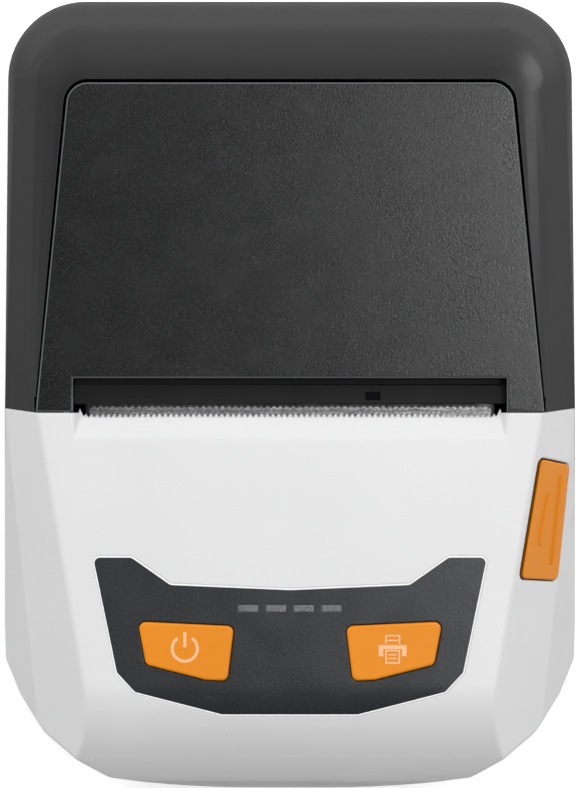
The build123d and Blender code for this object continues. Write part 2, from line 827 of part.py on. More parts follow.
def bush_slot(x0, x1):
    """The open slot that takes a platen bush, along the way the platen leaves."""
    r = platen_bush_r + 0.1
    side = (rising[1] * r, -rising[0] * r)
    far = 12.0
    end = (platen_y + rising[0] * far, platen_z + rising[1] * far)
    points = [
        (platen_y + side[0], platen_z + side[1]), (end[0] + side[0] * 1.15, end[1] + side[1] * 1.15),
        (end[0] - side[0] * 1.15, end[1] - side[1] * 1.15), (platen_y - side[0], platen_z - side[1]),
    ]
    return side_plate(points, x0, x1) + rod_x(platen_y, platen_z, r, x0, x1)


def mech_frame():
    outer = frame_out
    z1 = frame_base_z + frame_plate
    frame = block(-outer, outer, frame_front_y, frame_front_y + frame_plate,
                  frame_base_z, frame_web_z)
    for side in (-1, 1):
        a = side * frame_plate_in
        b = side * outer
        frame += block(a, b, frame_front_y, frame_rear_y, frame_base_z, frame_top_z)
        flange = block(side * (frame_screw_x - 4.5), b, frame_front_y, frame_rear_y,
                       frame_base_z, z1)
        for y in frame_screw_y:
            flange -= post(side * frame_screw_x, y, screw_r + 0.15, 0, z1 + past)
        frame += flange
        frame -= bush_slot(min(a, b) - 0.5, max(a, b) + 0.5)
    frame -= rod_x(*head_pivot_at, head_pivot_r, -outer - 1, outer + 1)
    frame -= rod_x(idler_y, idler_z, idler_axle_r, -outer - 1, -frame_plate_in + 1)
    frame -= rod_x(pinion_y, pinion_z, 3.0, -outer - 1, -frame_plate_in + 1)
    frame += block(frame_plate_in, outer, lever_pivot_y - 3, frame_front_y + 1,
                   lever_pivot_z - 4, lever_pivot_z + 3)
    frame -= rod_x(lever_pivot_y, lever_pivot_z, lever_pivot_r, frame_plate_in - 1, outer + 1)
    return frame


head_pivot_at = head_point(-head_bottom + 1.6, ceramic + heatsink / 2)


def head_plate(back0, back1, up0, up1):
    points = [
        head_point(up0, back0), head_point(up1, back0),
        head_point(up1, back1), head_point(up0, back1),
    ]
    return side_plate(points, -head_half, head_half)


def print_head():
    return head_plate(0.0, ceramic, -head_bottom + 4.0, head_top)


def head_heatsink():
    sink = head_plate(ceramic, ceramic + heatsink, -head_bottom, head_top)
    return sink - rod_x(*head_pivot_at, head_pivot_r - 0.2 + run_clear, -half_width, half_width)


def head_pivot():
    rod = rod_x(*head_pivot_at, head_pivot_r - 0.2, -frame_out, frame_out)
    for side in (-1, 1):
        rod += rod_x(*head_pivot_at, head_pivot_r, side * (frame_plate_in - 0.6), side * frame_out)
    return rod


def head_springs():
    start_y, start_z = head_point(-1.5, ceramic + heatsink)
    wall_y = frame_front_y + frame_plate
    springs = None
    for x in (-head_spring_x, 0.0, head_spring_x):
        tube = Pos(x, (start_y - 0.35 + wall_y) / 2, start_z - 1.5) * Rot(90, 0, 0)
        long = start_y - 0.35 - wall_y
        bore = Cylinder(head_spring_r - spring_wire, long + past)
        spring = tube * (Cylinder(head_spring_r, long) - bore)
        springs = spring if springs is None else springs + spring
    return springs


def drive_motor():
    motor = rod_x(pinion_y, pinion_z, motor_r, -frame_plate_in, -frame_plate_in + motor_long)
    ear = block(-frame_plate_in, -frame_plate_in + 1.0, pinion_y - 3.0, pinion_y + 3.0,
                motor_ear_z, pinion_z)
    boss = rod_x(pinion_y, pinion_z, 2.9, -frame_out, -frame_plate_in + 1)
    motor = motor + ear + boss
    return motor - rod_x(pinion_y, pinion_z, motor_shaft_r + run_clear,
                         -frame_out - past, -frame_plate_in + 3)


def motor_pinion():
    wheel = gear(pinion_teeth, pinion_phase, pinion_y, pinion_z, motor_shaft_r - 0.3)
    shaft = rod_x(pinion_y, pinion_z, motor_shaft_r, -gear_out, -frame_plate_in + 2.5)
    return wheel + shaft


def idler_gear():
    wheel = gear(idler_teeth, idler_phase, idler_y, idler_z, idler_axle_r + run_clear)
    hub = rod_x(idler_y, idler_z, 3.2, -gear_in, -frame_out - 0.2)
    return wheel + (hub - rod_x(idler_y, idler_z, idler_axle_r + run_clear, -gear_out, -frame_out))


def idler_axle():
    axle = rod_x(idler_y, idler_z, idler_axle_r, -gear_out - 1.2, -frame_plate_in)
    cap = rod_x(idler_y, idler_z, idler_axle_r + 1.2, -gear_out - 1.2, -gear_out - 0.3)
    return axle + cap


# Tooth phases: a tooth of one wheel faces a gap of the next on each line of centres
platen_to_idler = degrees(atan2(idler_z - platen_z, idler_y - platen_y))
platen_phase = platen_to_idler
idler_phase = platen_to_idler + 180.0 + 180.0 / idler_teeth
idler_to_pinion = degrees(atan2(pinion_z - idler_z, pinion_y - idler_y))
idler_lead = ((idler_to_pinion - idler_phase) * idler_teeth / 360.0) % 1.0
pinion_phase = idler_to_pinion + 180.0 + (0.5 + idler_lead) * 360.0 / pinion_teeth


def platen_gear():
    return gear(platen_teeth, platen_phase, platen_y, platen_z, platen_shaft_r)


# Release button and lever

lever_pad_z = stem_end.Z - release_stem_r * sin(radians(bevel_angle)) - 0.2


def release_button():
    cap = bevel_slab(release_outline, 0.0, -release_sunk, release_proud, release_round)
    n = bevel_n
    for (x0, y0), (x1, y1) in rib_ends:
        a = on_bevel(*release_place(x0, y0)) + n * release_proud
        b = on_bevel(*release_place(x1, y1)) + n * release_proud
        along = (b - a).normalized()
        long = (b - a).length
        place = Plane(origin=(a + b) / 2, x_dir=along, z_dir=n)
        cap += place * Box(long, rib_wide, 2 * rib_high)
    top = on_bevel(*release_mid) - n * (release_sunk - 0.5)
    stem = Plane(origin=top, z_dir=n * -1) * Pos(0, 0, (release_stem + 0.5) / 2) * Cylinder(
        release_stem_r, release_stem + 0.5
    )
    return cap + stem


def release_lever():
    """A rocking plate: the button presses its pad down and its nose lifts the platen bush."""
    nose_y = platen_y
    nose_z = platen_z - platen_bush_r - lever_nose_drop
    pad_y = stem_end.Y
    pad_low_z = lever_pad_z - lever_pad
    points = [
        (pad_y - 3.5, pad_low_z), (pad_y - 3.5, lever_pad_z), (pad_y + 3.0, lever_pad_z),
        (lever_pivot_y - 2.0, lever_pivot_z + 3.2), (lever_pivot_y + 3.0, lever_pivot_z + 3.0),
        (nose_y - 4.0, nose_z - 1.8), (nose_y - 1.8, nose_z), (nose_y + 1.8, nose_z),
        (nose_y + 2.6, nose_z - 3.4), (lever_pivot_y + 3.0, lever_pivot_z - 3.0),
        (lever_pivot_y - 3.0, lever_pivot_z - 3.0), (pad_y + 3.0, pad_low_z),
    ]
    lever = side_plate(points, lever_in, lever_out)
    pad_x0 = min(stem_end.X - 3.0, lever_in)
    lever += block(pad_x0, max(stem_end.X + 3.0, lever_out), pad_y - 3.5, pad_y + 3.0,
                   pad_low_z, lever_pad_z)
    return lever - rod_x(lever_pivot_y, lever_pivot_z, lever_pivot_r - 0.3 + run_clear,
                         lever_in - past, lever_out + past)


def lever_pivot():
    pin = rod_x(lever_pivot_y, lever_pivot_z, lever_pivot_r, frame_plate_in, frame_out)
    pin += rod_x(lever_pivot_y, lever_pivot_z, lever_pivot_r - 0.3, frame_out, lever_out + 0.8)
    return pin + rod_x(lever_pivot_y, lever_pivot_z, lever_pivot_r + 1.0,
                       lever_out + 0.2, lever_out + 0.9)


def release_spring():
    high = lever_pad_z - lever_pad - 0.3
    tube = post(*spring_post, spring_r, spring_low_z, high)
    return tube - post(*spring_post, spring_r - spring_wire, spring_low_z - past, high + past)


# Control panel, keys and electronics

def control_panel():
    panel = column(panel_face(), cut_low_z, top_z + past) & front_form()
    panel -= front_form(panel_depth)
    for side in (-1, 1):
        panel -= column(key_face(side, key_gap), cut_low_z, top_z + past)
    panel -= lamp_boxes(0.0, cut_low_z, top_z + past)
    return panel


def led_windows():
    return lamp_boxes(0.03, cut_low_z, top_z + past) & front_form() - front_form(panel_depth)


def panel_key(side):
    cap = column(key_face(side), key_under_z, top_z + past) & front_form(-key_proud)
    flange = column(key_face(side, key_flange), key_under_z, key_flange_z)
    x = side * key_centre[0]
    stem = post(x, key_centre[1], key_stem_r, switch_top_z - 1.5, key_under_z + 0.5)
    return cap + flange + stem


switch_base_z = board_z + board_thick
switch_top_z = switch_base_z + 4.0


def key_switches():
    pair = None
    for side in (-1, 1):
        x = side * key_centre[0]
        y = key_centre[1]
        half = key_switch / 2
        switch = block(x - half, x + half, y - half, y + half, switch_base_z, switch_top_z)
        switch -= post(x, y, key_stem_r + 0.1, switch_top_z - 2.2, switch_top_z + 1)
        pair = switch if pair is None else pair + switch
    return pair


# Parts under the board: X from and to, distance from its rear edge, length and height
board_parts = [
    (-12, 4, 5, 12, 1.6), (14, 26, 11, 10, 2.4), (14, 26, 0.5, 4.5, 4.0),
    (-30, -20, board_y[1] - board_y[0] - 24, 16, 3.0),
]


def main_board():
    board = block(-board_half, board_half, board_y[0], board_y[1], board_z, board_z + board_thick)
    board &= front_form(wall + 0.5, 20)
    for x, y in board_post:
        for side in (-1, 1):
            board -= post(side * x, y, board_screw_r + 0.15, board_z - past,
                          board_z + board_thick + past)
    for x0, x1, back, long, high in board_parts:
        y1 = board_y[1] - back
        board += block(x0, x1, y1 - long, y1, board_z - high, board_z)
    return board


def board_screws():
    screws = None
    for x, y in board_post:
        for side in (-1, 1):
            screw = post(side * x, y, board_screw_r - 0.1, board_z, board_z + board_thick + 5)
            screw += post(side * x, y, 1.9, board_z - 1.2, board_z)
            screws = screw if screws is None else screws + screw
    return screws


def battery_pack():
    pack = block(-cell_half, cell_half, cell_y[0], cell_y[1], cell_z[0], cell_z[1])
    return fillet(pack.edges().filter_by(Axis.X), 2.5)


def battery_contacts():
    springs = None
    y1 = cell_y[1] + bay_clear
    for x in (-6.0, 0.0, 6.0):
        leaf = block(x - 1.2, x + 1.2, cell_y[1] + 0.2, y1, cell_z[0] + 2.8, cell_z[0] + 8.8)
        springs = leaf if springs is None else springs + leaf
    return springs


def charge_board():
    return block(-half_width + 4, -bay_half - bay_wall - 3.2, port_y - 9, port_y + 9,
                 port_board_z, port_board_z + port_board)


def charge_port():
    x0 = -half_width + 1.0
    half_y, half_z = port_half
    outer = fillet(block(x0, x0 + 7.4, port_y - half_y, port_y + half_y,
                         port_z - half_z, port_z + half_z).edges().filter_by(Axis.X), half_z - 0.1)
    inner = fillet(block(x0 - 1, x0 + 6.4, port_y - half_y + port_shell, port_y + half_y - port_shell,
                         port_z - half_z + port_shell,
                         port_z + half_z - port_shell).edges().filter_by(Axis.X), half_z - 0.45)
    tongue = block(x0 + 0.8, x0 + 7.0, port_y - 3.3, port_y + 3.3, port_z - 0.35, port_z + 0.35)
    return outer - inner + tongue


def paper_well():
    x1 = well_half + well_wall
    y0 = well_front_y - well_wall
    y1 = well_front_y + well_length + well_wall
    low = well_floor_z - well_wall
    outer = block(-x1, x1, y0, y1, low, well_top_z)
    bottom_edges = outer.edges().filter_by(Axis.X).sort_by(Axis.Z)[:2]
    outer = chamfer(bottom_edges, 9.0)
    mid_z = well_floor_z + roll_room
    hollow = rod_x(well_mid_y, mid_z, roll_room, -well_half, well_half)
    hollow += block(-well_half, well_half, well_front_y, well_front_y + well_length,
                    mid_z, well_top_z + past)
    tub = outer - hollow
    tub -= block(-x1 - past, x1 + past, well_step_y, y1 + past, well_rear_top_z, well_top_z + past)
    open_z = well_floor_z + roll_room / 2
    for side in (-1, 1):
        tub -= post(side * well_post_x, well_mid_y, screw_r + 0.15, 0, open_z)
        tub -= post(side * well_post_x, well_mid_y, screw_head_r + 0.2, well_head_z, open_z)
    return tub


def well_screws():
    pair = None
    for side in (-1, 1):
        x = side * well_post_x
        screw = post(x, well_mid_y, screw_r - 0.2, case_base_z + 1.5, well_head_z)
        screw += post(x, well_mid_y, screw_head_r, well_head_z, well_head_z + 1.3)
        pair = screw if pair is None else pair + screw
    return pair


def frame_screws():
    group = None
    z1 = frame_base_z + frame_plate
    for y in frame_screw_y:
        for side in (-1, 1):
            x = side * frame_screw_x
            screw = post(x, y, screw_r - 0.2, case_base_z + 3, z1)
            screw += post(x, y, screw_head_r, z1, z1 + 1.4)
            group = screw if group is None else group + screw
    return group


def case_screws():
    group = None
    for x, y in case_screw_at:
        for side in (-1, 1):
            head_z = case_base_z + 2.0
            screw = post(side * x, y, screw_r - 0.2, head_z, case_screw_top_z)
            screw += post(side * x, y, screw_head_r, head_z - 1.4, head_z)
            screw -= post(side * x, y, 0.9, 0, head_z - 0.7)
            group = screw if group is None else group + screw
    return group


def rubber_feet():
    group = None
    for x, y in foot_at:
        for side in (-1, 1):
            foot = post(side * x, y, foot_r, 0.0, foot_high)
            foot = fillet(foot.edges().sort_by(Axis.Z)[0], 0.4)
            group = foot if group is None else group + foot
    return group


os.makedirs("parts", exist_ok=True)

pieces = {
    "bottom_case": bottom_case,
    "front_cover": front_cover,
    "rear_bezel": rear_bezel,
    "lid_cover": lid_cover,
    "platen_holder": platen_holder,
    "holder_screws": holder_screws,
    "paper_sensor": paper_sensor,
    "platen_roller": platen_roller,
    "platen_shaft": platen_shaft,
    "platen_gear": platen_gear,
    "platen_bushes": platen_bushes,
    "hinge_pins": hinge_pins,
    "paper_well": paper_well,
    "well_screws": well_screws,
    "mech_frame": mech_frame,
    "frame_screws": frame_screws,
    "print_head": print_head,
    "head_heatsink": head_heatsink,
    "head_pivot": head_pivot,
    "head_springs": head_springs,
    "drive_motor": drive_motor,
    "motor_pinion": motor_pinion,
    "idler_gear": idler_gear,
    "idler_axle": idler_axle,
    "tear_bar": tear_bar,
    "control_panel": control_panel,
    "led_windows": led_windows,
    "power_button": lambda: panel_key(-1),
    "feed_button": lambda: panel_key(1),
    "key_switches": key_switches,
    "release_button": release_button,
    "release_lever": release_lever,
    "lever_pivot": lever_pivot,
    "release_spring": release_spring,
    "main_board": main_board,
    "board_screws": board_screws,
    "battery_pack": battery_pack,
    "battery_contacts": battery_contacts,
    "battery_door": battery_door,
    "charge_board": charge_board,
    "charge_port": charge_port,
    "case_screws": case_screws,
    "rubber_feet": rubber_feet,
}
for name, make in pieces.items():
    save(name, make())

print("stem end", stem_end, "release axis", bevel_n)
print("head pivot", head_pivot_at)
print("idler", idler_y, idler_z, "pinion", pinion_y, pinion_z)
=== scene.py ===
from math import atan2, degrees, pi, radians

import bmesh
import bpy
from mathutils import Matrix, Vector


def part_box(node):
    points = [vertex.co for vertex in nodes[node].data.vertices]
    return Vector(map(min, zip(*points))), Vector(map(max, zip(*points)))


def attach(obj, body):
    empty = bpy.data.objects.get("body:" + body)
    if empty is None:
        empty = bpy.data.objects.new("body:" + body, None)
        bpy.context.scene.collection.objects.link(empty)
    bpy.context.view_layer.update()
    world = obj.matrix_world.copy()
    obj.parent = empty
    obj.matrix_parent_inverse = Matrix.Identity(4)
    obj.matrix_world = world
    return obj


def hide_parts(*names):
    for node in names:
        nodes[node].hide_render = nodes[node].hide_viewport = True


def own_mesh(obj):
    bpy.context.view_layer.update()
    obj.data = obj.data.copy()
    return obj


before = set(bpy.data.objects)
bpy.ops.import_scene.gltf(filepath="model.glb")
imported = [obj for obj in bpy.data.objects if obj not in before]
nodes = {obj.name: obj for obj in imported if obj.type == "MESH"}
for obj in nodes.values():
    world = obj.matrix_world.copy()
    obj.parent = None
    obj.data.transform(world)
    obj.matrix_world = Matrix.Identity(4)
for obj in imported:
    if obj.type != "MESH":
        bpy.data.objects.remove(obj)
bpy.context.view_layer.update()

# Camera: straight above the printer with the lid's hinge towards the top of the picture.
# The frame is 788 pixels long, at 5.08 pixels to the millimetre on the printer's top face.
top_z = 0.058
camera_z = 0.738
sensor = 36.0
frame_long = 788 / 5080  # in metres
camera = bpy.data.objects.new("camera", bpy.data.cameras.new("camera"))
bpy.context.scene.collection.objects.link(camera)
camera.data.sensor_width = sensor
camera.data.lens = sensor * (camera_z - top_z) / frame_long
camera.location = (0.0, -0.0001, camera_z)
bpy.context.scene.camera = camera
bpy.context.scene.view_settings.view_transform = "Standard"

# Table: a wide sheet of white paper under the rubber feet, which lights itself a little,
# as paper on a light table does, so that it stays white right up to the printer.
bpy.ops.object.select_all(action="DESELECT")
bpy.ops.mesh.primitive_plane_add(size=5.0)
table = bpy.context.object
table.name = "table"
paper_white = bpy.data.materials.new("paper_white")
paper_white.use_nodes = True
paper_shader = paper_white.node_tree.nodes["Principled BSDF"]
paper_shader.inputs["Base Color"].default_value = (0.93, 0.93, 0.93, 1)
paper_shader.inputs["Roughness"].default_value = 0.9
paper_shader.inputs["Emission Color"].default_value = (1, 1, 1, 1)
paper_shader.inputs["Emission Strength"].default_value = 0.42
table.data.materials.append(paper_white)
table.visible_glossy = False

# Light: a room with pale walls, dim straight above and in front, a long soft box high on the
# right that the lid mirrors, two that fill the shadows, far above and on the left, and one low
# on the right that only the glossy faces show.
room = bpy.data.worlds.new("pale_room")
bpy.context.scene.world = room
room.use_nodes = True
walls = room.node_tree
towards = walls.nodes.new("ShaderNodeSeparateXYZ")
walls.links.new(walls.nodes.new("ShaderNodeTexCoord").outputs["Generated"], towards.inputs[0])
wall_ramps = [      # axis, where the ramp starts and ends along it, and its strength at both
    ("Z", 1.0, 0.68, 0.10, 1.0),
    ("Z", -0.75, -0.1, 0.35, 1.2),
    ("Z", -0.06, 0.0, 1.0, 0.83),
    ("Y", -0.8, 0.6, 0.06, 1.0),
    ("X", -0.8, 0.8, 1.0, 1.22),
]
dimming = []
for axis, start, end, low, high in wall_ramps:
    ramp = walls.nodes.new("ShaderNodeMapRange")
    ramp.inputs["From Min"].default_value = start
    ramp.inputs["From Max"].default_value = end
    ramp.inputs["To Min"].default_value = low
    ramp.inputs["To Max"].default_value = high
    walls.links.new(towards.outputs[axis], ramp.inputs["Value"])
    dimming.append(ramp.outputs["Result"])
strength = dimming[0]
for dimmer in dimming[1:]:
    product = walls.nodes.new("ShaderNodeMath")
    product.operation = "MULTIPLY"
    walls.links.new(strength, product.inputs[0])
    walls.links.new(dimmer, product.inputs[1])
    strength = product.outputs[0]
walls.links.new(strength, walls.nodes["Background"].inputs["Strength"])
walls.nodes["Background"].inputs["Color"].default_value = (1, 1, 1, 1)
soft_boxes = [      # name, place, size, watts, seen in glossy faces, lights dull faces
    ("lid_box", (0.215, 0.06, 0.80), 0.36, 0.12, 1.6, True, True),
    ("fill_box", (0.02, 0.10, 1.46), 0.80, 0.80, 9.8, False, True),
    ("left_box", (-0.75, 0.70, 0.66), 0.40, 0.40, 3.0, False, True),
    ("right_box", (0.62, 0.35, 0.42), 0.50, 0.40, 1.6, True, False),
]
for box_name, place, wide, high, watts, in_gloss, on_dull in soft_boxes:
    lamp = bpy.data.lights.new(box_name, "AREA")
    lamp.shape = "RECTANGLE"
    lamp.size = wide
    lamp.size_y = high
    lamp.energy = watts
    box = bpy.data.objects.new(box_name, lamp)
    box.location = place
    box.visible_glossy = in_gloss
    box.visible_diffuse = on_dull
    box.rotation_euler = (Vector((0, 0, top_z)) - Vector(place)).to_track_quat("-Z", "Y").to_euler()
    bpy.context.scene.collection.objects.link(box)


# Bottom case and battery door: the black tub that holds the battery bay, the boards and the
# mechanism, and the lid that slides over the bay. Injection moulded in black plastic with a
# fine spark-eroded grain; four screws driven from below pull the two covers down on the tub.
def moulded(name, colour, rough, grain, height, drift=0.12, edge=0.00025, rim_highlight=0.0, speck=0.0,
            mirror=0.5):
    """Moulded plastic: a fine grain, slightly drifting colour and gloss, softened edges."""
    material = bpy.data.materials.new(name)
    material.use_nodes = True
    tree = material.node_tree
    shader = tree.nodes["Principled BSDF"]
    shader.inputs["Specular IOR Level"].default_value = mirror
    place = tree.nodes.new("ShaderNodeTexCoord").outputs["Object"]

    def noise(scale, detail):
        cloud = tree.nodes.new("ShaderNodeTexNoise")
        cloud.inputs["Scale"].default_value = scale
        cloud.inputs["Detail"].default_value = detail
        tree.links.new(place, cloud.inputs["Vector"])
        return cloud.outputs["Fac"]

    def spread(value, low, high, start=0.3, end=0.7):
        ramp = tree.nodes.new("ShaderNodeMapRange")
        ramp.inputs["From Min"].default_value = start
        ramp.inputs["From Max"].default_value = end
        ramp.inputs["To Min"].default_value = low
        ramp.inputs["To Max"].default_value = high
        tree.links.new(value, ramp.inputs["Value"])
        return ramp.outputs["Result"]

    def blend(factor, first, second):
        mix = tree.nodes.new("ShaderNodeMix")
        mix.data_type = "RGBA"
        tree.links.new(factor, mix.inputs["Factor"])
        for socket, value in ((mix.inputs[6], first), (mix.inputs[7], second)):
            if isinstance(value, tuple):
                socket.default_value = (*value, 1)
            else:
                tree.links.new(value, socket)
        return mix.outputs[2]

    pale = tuple(min(1.0, c * (1 + drift)) for c in colour)
    deep = tuple(c * (1 - drift) for c in colour)
    tint = blend(spread(noise(38.0, 3.0), 0.0, 1.0), deep, pale)
    if speck:
        bright = tuple(min(1.0, c * (1 + speck)) for c in colour)
        tint = blend(spread(noise(grain * 1.6, 1.0), 0.0, 1.0, 0.52, 0.72), tint, bright)
    # Painted highlight: faces tilted part way over, as on rounded rims, are coloured paler to stand in
    # for light caught on the edge.
    if rim_highlight:
        facing = tree.nodes.new("ShaderNodeSeparateXYZ")
        tree.links.new(tree.nodes.new("ShaderNodeTexCoord").outputs["Normal"], facing.inputs["Vector"])
        rim = tree.nodes.new("ShaderNodeMath")
        rim.operation = "MULTIPLY"
        tree.links.new(spread(facing.outputs["Z"], 1.0, 0.0, 0.86, 0.97), rim.inputs[0])
        tree.links.new(spread(facing.outputs["Z"], 0.0, 1.0, 0.2, 0.45), rim.inputs[1])
        highlight_tint = tuple(min(1.0, c * (1 + rim_highlight) + 0.01) for c in colour)
        tint = blend(rim.outputs["Value"], tint, highlight_tint)
    tree.links.new(tint, shader.inputs["Base Color"])
    tree.links.new(spread(noise(160.0, 4.0), rough * 0.9, rough * 1.1), shader.inputs["Roughness"])
    bump = tree.nodes.new("ShaderNodeBump")
    bump.inputs["Strength"].default_value = 1.0
    bump.inputs["Distance"].default_value = height
    tree.links.new(noise(grain, 2.0), bump.inputs["Height"])
    if edge:
        softened = tree.nodes.new("ShaderNodeBevel")
        softened.samples = 6
        softened.inputs["Radius"].default_value = edge
        tree.links.new(softened.outputs["Normal"], bump.inputs["Normal"])
    tree.links.new(bump.outputs["Normal"], shader.inputs["Normal"])
    return material


def dress(node_name, material):
    """Give a CAD piece its finish."""
    node = nodes[node_name]
    node.data.materials.clear()
    node.data.materials.append(material)


def deselect():
    bpy.ops.object.select_all(action="DESELECT")


def joined_up(node_name, piece_name):
    """A copy of a CAD piece whose triangles are joined up, to be finished here."""
    deselect()
    piece = nodes[node_name].copy()
    piece.data = nodes[node_name].data.copy()
    piece.name = piece_name
    piece.parent = None
    bpy.context.scene.collection.objects.link(piece)
    piece.select_set(True)
    bpy.context.view_layer.objects.active = piece
    bpy.ops.mesh.customdata_custom_splitnormals_clear()
    bpy.ops.object.mode_set(mode="EDIT")
    bpy.ops.mesh.select_all(action="SELECT")
    bpy.ops.mesh.remove_doubles(threshold=0.000002)
    bpy.ops.mesh.dissolve_limited(angle_limit=radians(0.3))
    bpy.ops.object.mode_set(mode="OBJECT")
    piece.data.materials.clear()
    return piece


def merged_copy(node_name, piece_name, body):
    """A joined-up copy that stands for its CAD piece."""
    piece = joined_up(node_name, piece_name)
    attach(piece, body)
    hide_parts(node_name)
    return piece


def round_edges(piece, width, steps, sharp, wanted):
    """Round the edges sharper than an angle whose middle, in millimetres, is wanted."""
    deselect()
    piece.select_set(True)
    bpy.context.view_layer.objects.active = piece
    bpy.ops.object.mode_set(mode="EDIT")
    bpy.ops.mesh.select_mode(type="EDGE")
    bpy.ops.mesh.select_all(action="DESELECT")
    mesh = bmesh.from_edit_mesh(piece.data)
    for edge in mesh.edges:
        if len(edge.link_faces) == 2 and edge.is_convex and edge.calc_face_angle(0.0) > radians(sharp):
            middle = (edge.verts[0].co + edge.verts[1].co) / 2 * 1000
            if wanted(middle):
                edge.select = True
    bmesh.update_edit_mesh(piece.data)
    bpy.ops.mesh.bevel(offset=width, segments=steps, affect="EDGES", clamp_overlap=False)
    bpy.ops.object.mode_set(mode="OBJECT")


def smoothed(piece, angle=32.0):
    """Smooth shading up to an angle, with the large flat faces kept flat."""
    deselect()
    piece.select_set(True)
    bpy.context.view_layer.objects.active = piece
    bpy.ops.object.shade_smooth_by_angle(angle=radians(angle))
    flatten = piece.modifiers.new("flatten", "WEIGHTED_NORMAL")
    flatten.keep_sharp = True
    bpy.ops.object.modifier_apply(modifier=flatten.name)


seam_z = 24.0            # the seam between the bottom case and the covers, in millimetres
seam_round = 0.00025
lip_round, door_round = 0.0003, 0.0002
base_black = moulded("base_black", (0.018, 0.0185, 0.020), 0.50, 1500.0, 0.00004, mirror=0.35)
tub = merged_copy("bottom_case", "case_tub", "case")
round_edges(tub, lip_round, 2, 50,
            lambda at: at.z > seam_z - 0.1 and (abs(at.x) > 50 or abs(at.y) > 65))
tub.data.materials.append(base_black)
smoothed(tub)
door_skin = merged_copy("battery_door", "door_skin", "door")
round_edges(door_skin, door_round, 2, 50, lambda at: at.z < 1.35)
door_skin.data.materials.append(base_black)
smoothed(door_skin)

# Feet: four soft discs of black rubber, moulded with a rounded rim and glued into shallow
# pockets in the underside of the bottom case.
foot_round = 0.0005
foot_black = moulded("foot_black", (0.018, 0.018, 0.018), 0.8, 900.0, 0.00006, edge=0.0)
feet = merged_copy("rubber_feet", "soft_feet", "case")
round_edges(feet, foot_round, 3, 50, lambda at: at.z < 0.1)
feet.data.materials.append(foot_black)
smoothed(feet)


# Screws: black-zinc steel, cold headed. The four case screws have a round socket and are sunk
# below the face they hold; those inside have a pressed cross recess for a small driver.
def turned_metal(name, colour, rough, streak=900.0, height=0.00001, edge=0.00012,
                 drawn=0.12, deep=0.78, pale=1.12):
    """Bright or plated metal with drawn streaks and slight smudges."""
    material = bpy.data.materials.new(name)
    material.use_nodes = True
    tree = material.node_tree
    shader = tree.nodes["Principled BSDF"]
    shader.inputs["Metallic"].default_value = 1.0
    coordinates = tree.nodes.new("ShaderNodeTexCoord")
    stretch = tree.nodes.new("ShaderNodeMapping")
    stretch.inputs["Scale"].default_value = (drawn, 1.0, 1.0)
    tree.links.new(coordinates.outputs["Object"], stretch.inputs["Vector"])
    streaks = tree.nodes.new("ShaderNodeTexNoise")
    streaks.inputs["Scale"].default_value = streak
    streaks.inputs["Detail"].default_value = 4.0
    tree.links.new(stretch.outputs["Vector"], streaks.inputs["Vector"])
    smudges = tree.nodes.new("ShaderNodeTexNoise")
    smudges.inputs["Scale"].default_value = 60.0
    smudges.inputs["Detail"].default_value = 3.0
    tree.links.new(coordinates.outputs["Object"], smudges.inputs["Vector"])
    tint = tree.nodes.new("ShaderNodeMix")
    tint.data_type = "RGBA"
    tint.inputs[6].default_value = (*[c * deep for c in colour], 1)
    tint.inputs[7].default_value = (*[min(1.0, c * pale) for c in colour], 1)
    contrast = tree.nodes.new("ShaderNodeMapRange")
    contrast.inputs["From Min"].default_value = 0.35
    contrast.inputs["From Max"].default_value = 0.65
    tree.links.new(streaks.outputs["Fac"], contrast.inputs["Value"])
    tree.links.new(contrast.outputs["Result"], tint.inputs["Factor"])
    tree.links.new(tint.outputs[2], shader.inputs["Base Color"])
    gloss = tree.nodes.new("ShaderNodeMapRange")
    gloss.inputs["From Min"].default_value = 0.3
    gloss.inputs["From Max"].default_value = 0.7
    gloss.inputs["To Min"].default_value = rough - 0.08
    gloss.inputs["To Max"].default_value = rough + 0.08
    tree.links.new(smudges.outputs["Fac"], gloss.inputs["Value"])
    tree.links.new(gloss.outputs["Result"], shader.inputs["Roughness"])
    bump = tree.nodes.new("ShaderNodeBump")
    bump.inputs["Strength"].default_value = 1.0
    bump.inputs["Distance"].default_value = height
    tree.links.new(streaks.outputs["Fac"], bump.inputs["Height"])
    softened = tree.nodes.new("ShaderNodeBevel")
    softened.samples = 4
    softened.inputs["Radius"].default_value = edge
    tree.links.new(softened.outputs["Normal"], bump.inputs["Normal"])
    tree.links.new(bump.outputs["Normal"], shader.inputs["Normal"])
    return material


black_zinc = turned_metal("black_zinc", (0.12, 0.12, 0.125), 0.38)
cross_long, cross_wide, cross_deep = 0.0021, 0.0005, 0.0008


def cross_cut(screw, up):
    """Cut a cross recess into the face of one screw's head."""
    places = [vertex.co for vertex in screw.data.vertices]
    low, high = (Vector([pick(at[i] for at in places) for i in range(3)]) for pick in (min, max))
    face = ((low.x + high.x) / 2, (low.y + high.y) / 2, high.z if up else low.z)
    bars = []
    for wide, long in ((cross_long, cross_wide), (cross_wide, cross_long)):
        deselect()
        bpy.ops.mesh.primitive_cube_add(size=1.0, location=face)
        bpy.ops.object.mode_set(mode="EDIT")
        bpy.ops.transform.resize(value=(wide, long, 2 * cross_deep))
        bpy.ops.object.mode_set(mode="OBJECT")
        bars.append(bpy.context.object)
    for bar in bars:
        bpy.context.view_layer.objects.active = screw
        recess = screw.modifiers.new("recess", "BOOLEAN")
        recess.operation = "DIFFERENCE"
        recess.object = bar
        bpy.ops.object.modifier_apply(modifier=recess.name)
        bpy.data.objects.remove(bar)


